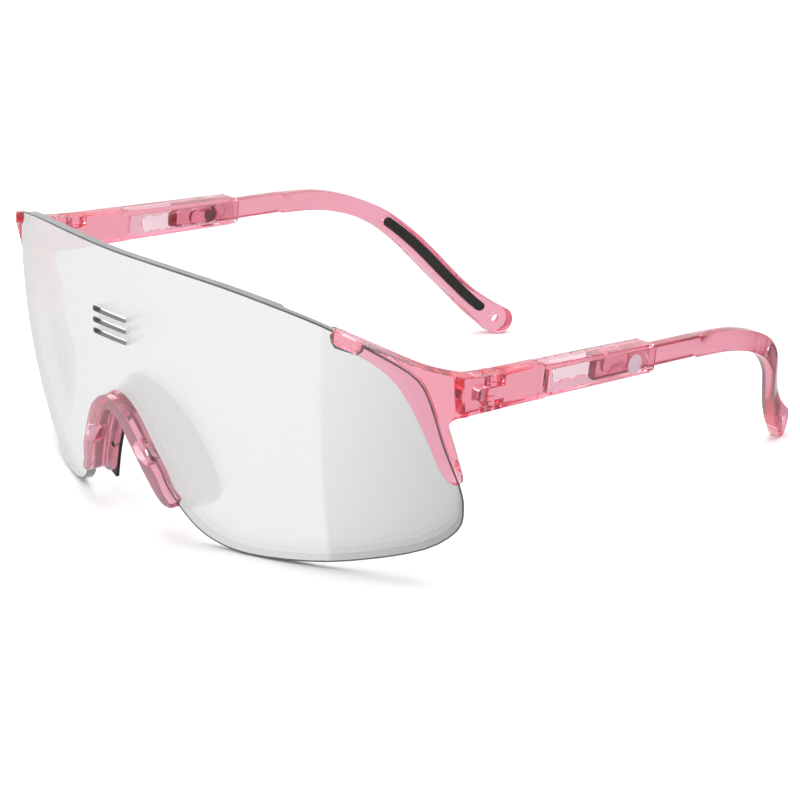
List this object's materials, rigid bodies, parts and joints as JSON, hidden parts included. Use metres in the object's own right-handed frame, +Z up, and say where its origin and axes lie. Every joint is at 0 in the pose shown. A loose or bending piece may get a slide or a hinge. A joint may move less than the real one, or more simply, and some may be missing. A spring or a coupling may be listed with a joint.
{
  "type": "sports sunglasses",
  "caption": "Wrap-round shield sports glasses: one clear curved lens, clear pink brackets, folding temples that slide to set their length.",
  "frame": {"origin": "middle of the bounding box, on the plane that the glasses stand on, with the temples open and at full length", "axes": "+X to the wearer's left, -Y the way the wearer looks, +Z up"},
  "size_m": [0.134, 0.1726, 0.06],
  "materials": {
    "clear_lens": "clear polished polycarbonate, very light grey",
    "pink_front": "clear pink, polished",
    "pink_sleeve": "clear pink, polished",
    "pink_arm": "clear pink, fine satin",
    "pink_disc": "clear pink, fine matt face",
    "black_rubber": "soft matt",
    "steel": "plain steel"
  },
  "bodies": {
    "front": {"lens": "clear_lens", "nose_bridge": "pink_front", "nose_pad": "black_rubber", "bracket_left": "pink_front", "bracket_right": "pink_front", "hinge_screw_left": "steel", "hinge_screw_right": "steel"},
    "sleeve_left": {"temple_sleeve_left": "pink_sleeve", "side_disc_left": "pink_disc"},
    "arm_left": {"temple_arm_left": "pink_arm", "ear_grip_left": "black_rubber"},
    "sleeve_right": {"temple_sleeve_right": "pink_sleeve", "side_disc_right": "pink_disc"},
    "arm_right": {"temple_arm_right": "pink_arm", "ear_grip_right": "black_rubber"}
  },
  "joints": [
    {"name": "fold_left", "type": "hinge", "parent": "front", "child": "sleeve_left", "pos_m": [0.0646, -0.0448, 0.04103], "axis": [0, 0.0299, 0.9996], "range_deg": [0, 80]},
    {"name": "fold_right", "type": "hinge", "parent": "front", "child": "sleeve_right", "pos_m": [-0.0646, -0.0448, 0.04103], "axis": [0, -0.0299, -0.9996], "range_deg": [0, 62]},
    {"name": "length_left", "type": "slide", "parent": "sleeve_left", "child": "arm_left", "axis": [0, -0.9996, 0.0299], "range_m": [0, 0.0144]},
    {"name": "length_right", "type": "slide", "parent": "sleeve_right", "child": "arm_right", "axis": [0, -0.9996, 0.0299], "range_m": [0, 0.0144]}
  ]
}
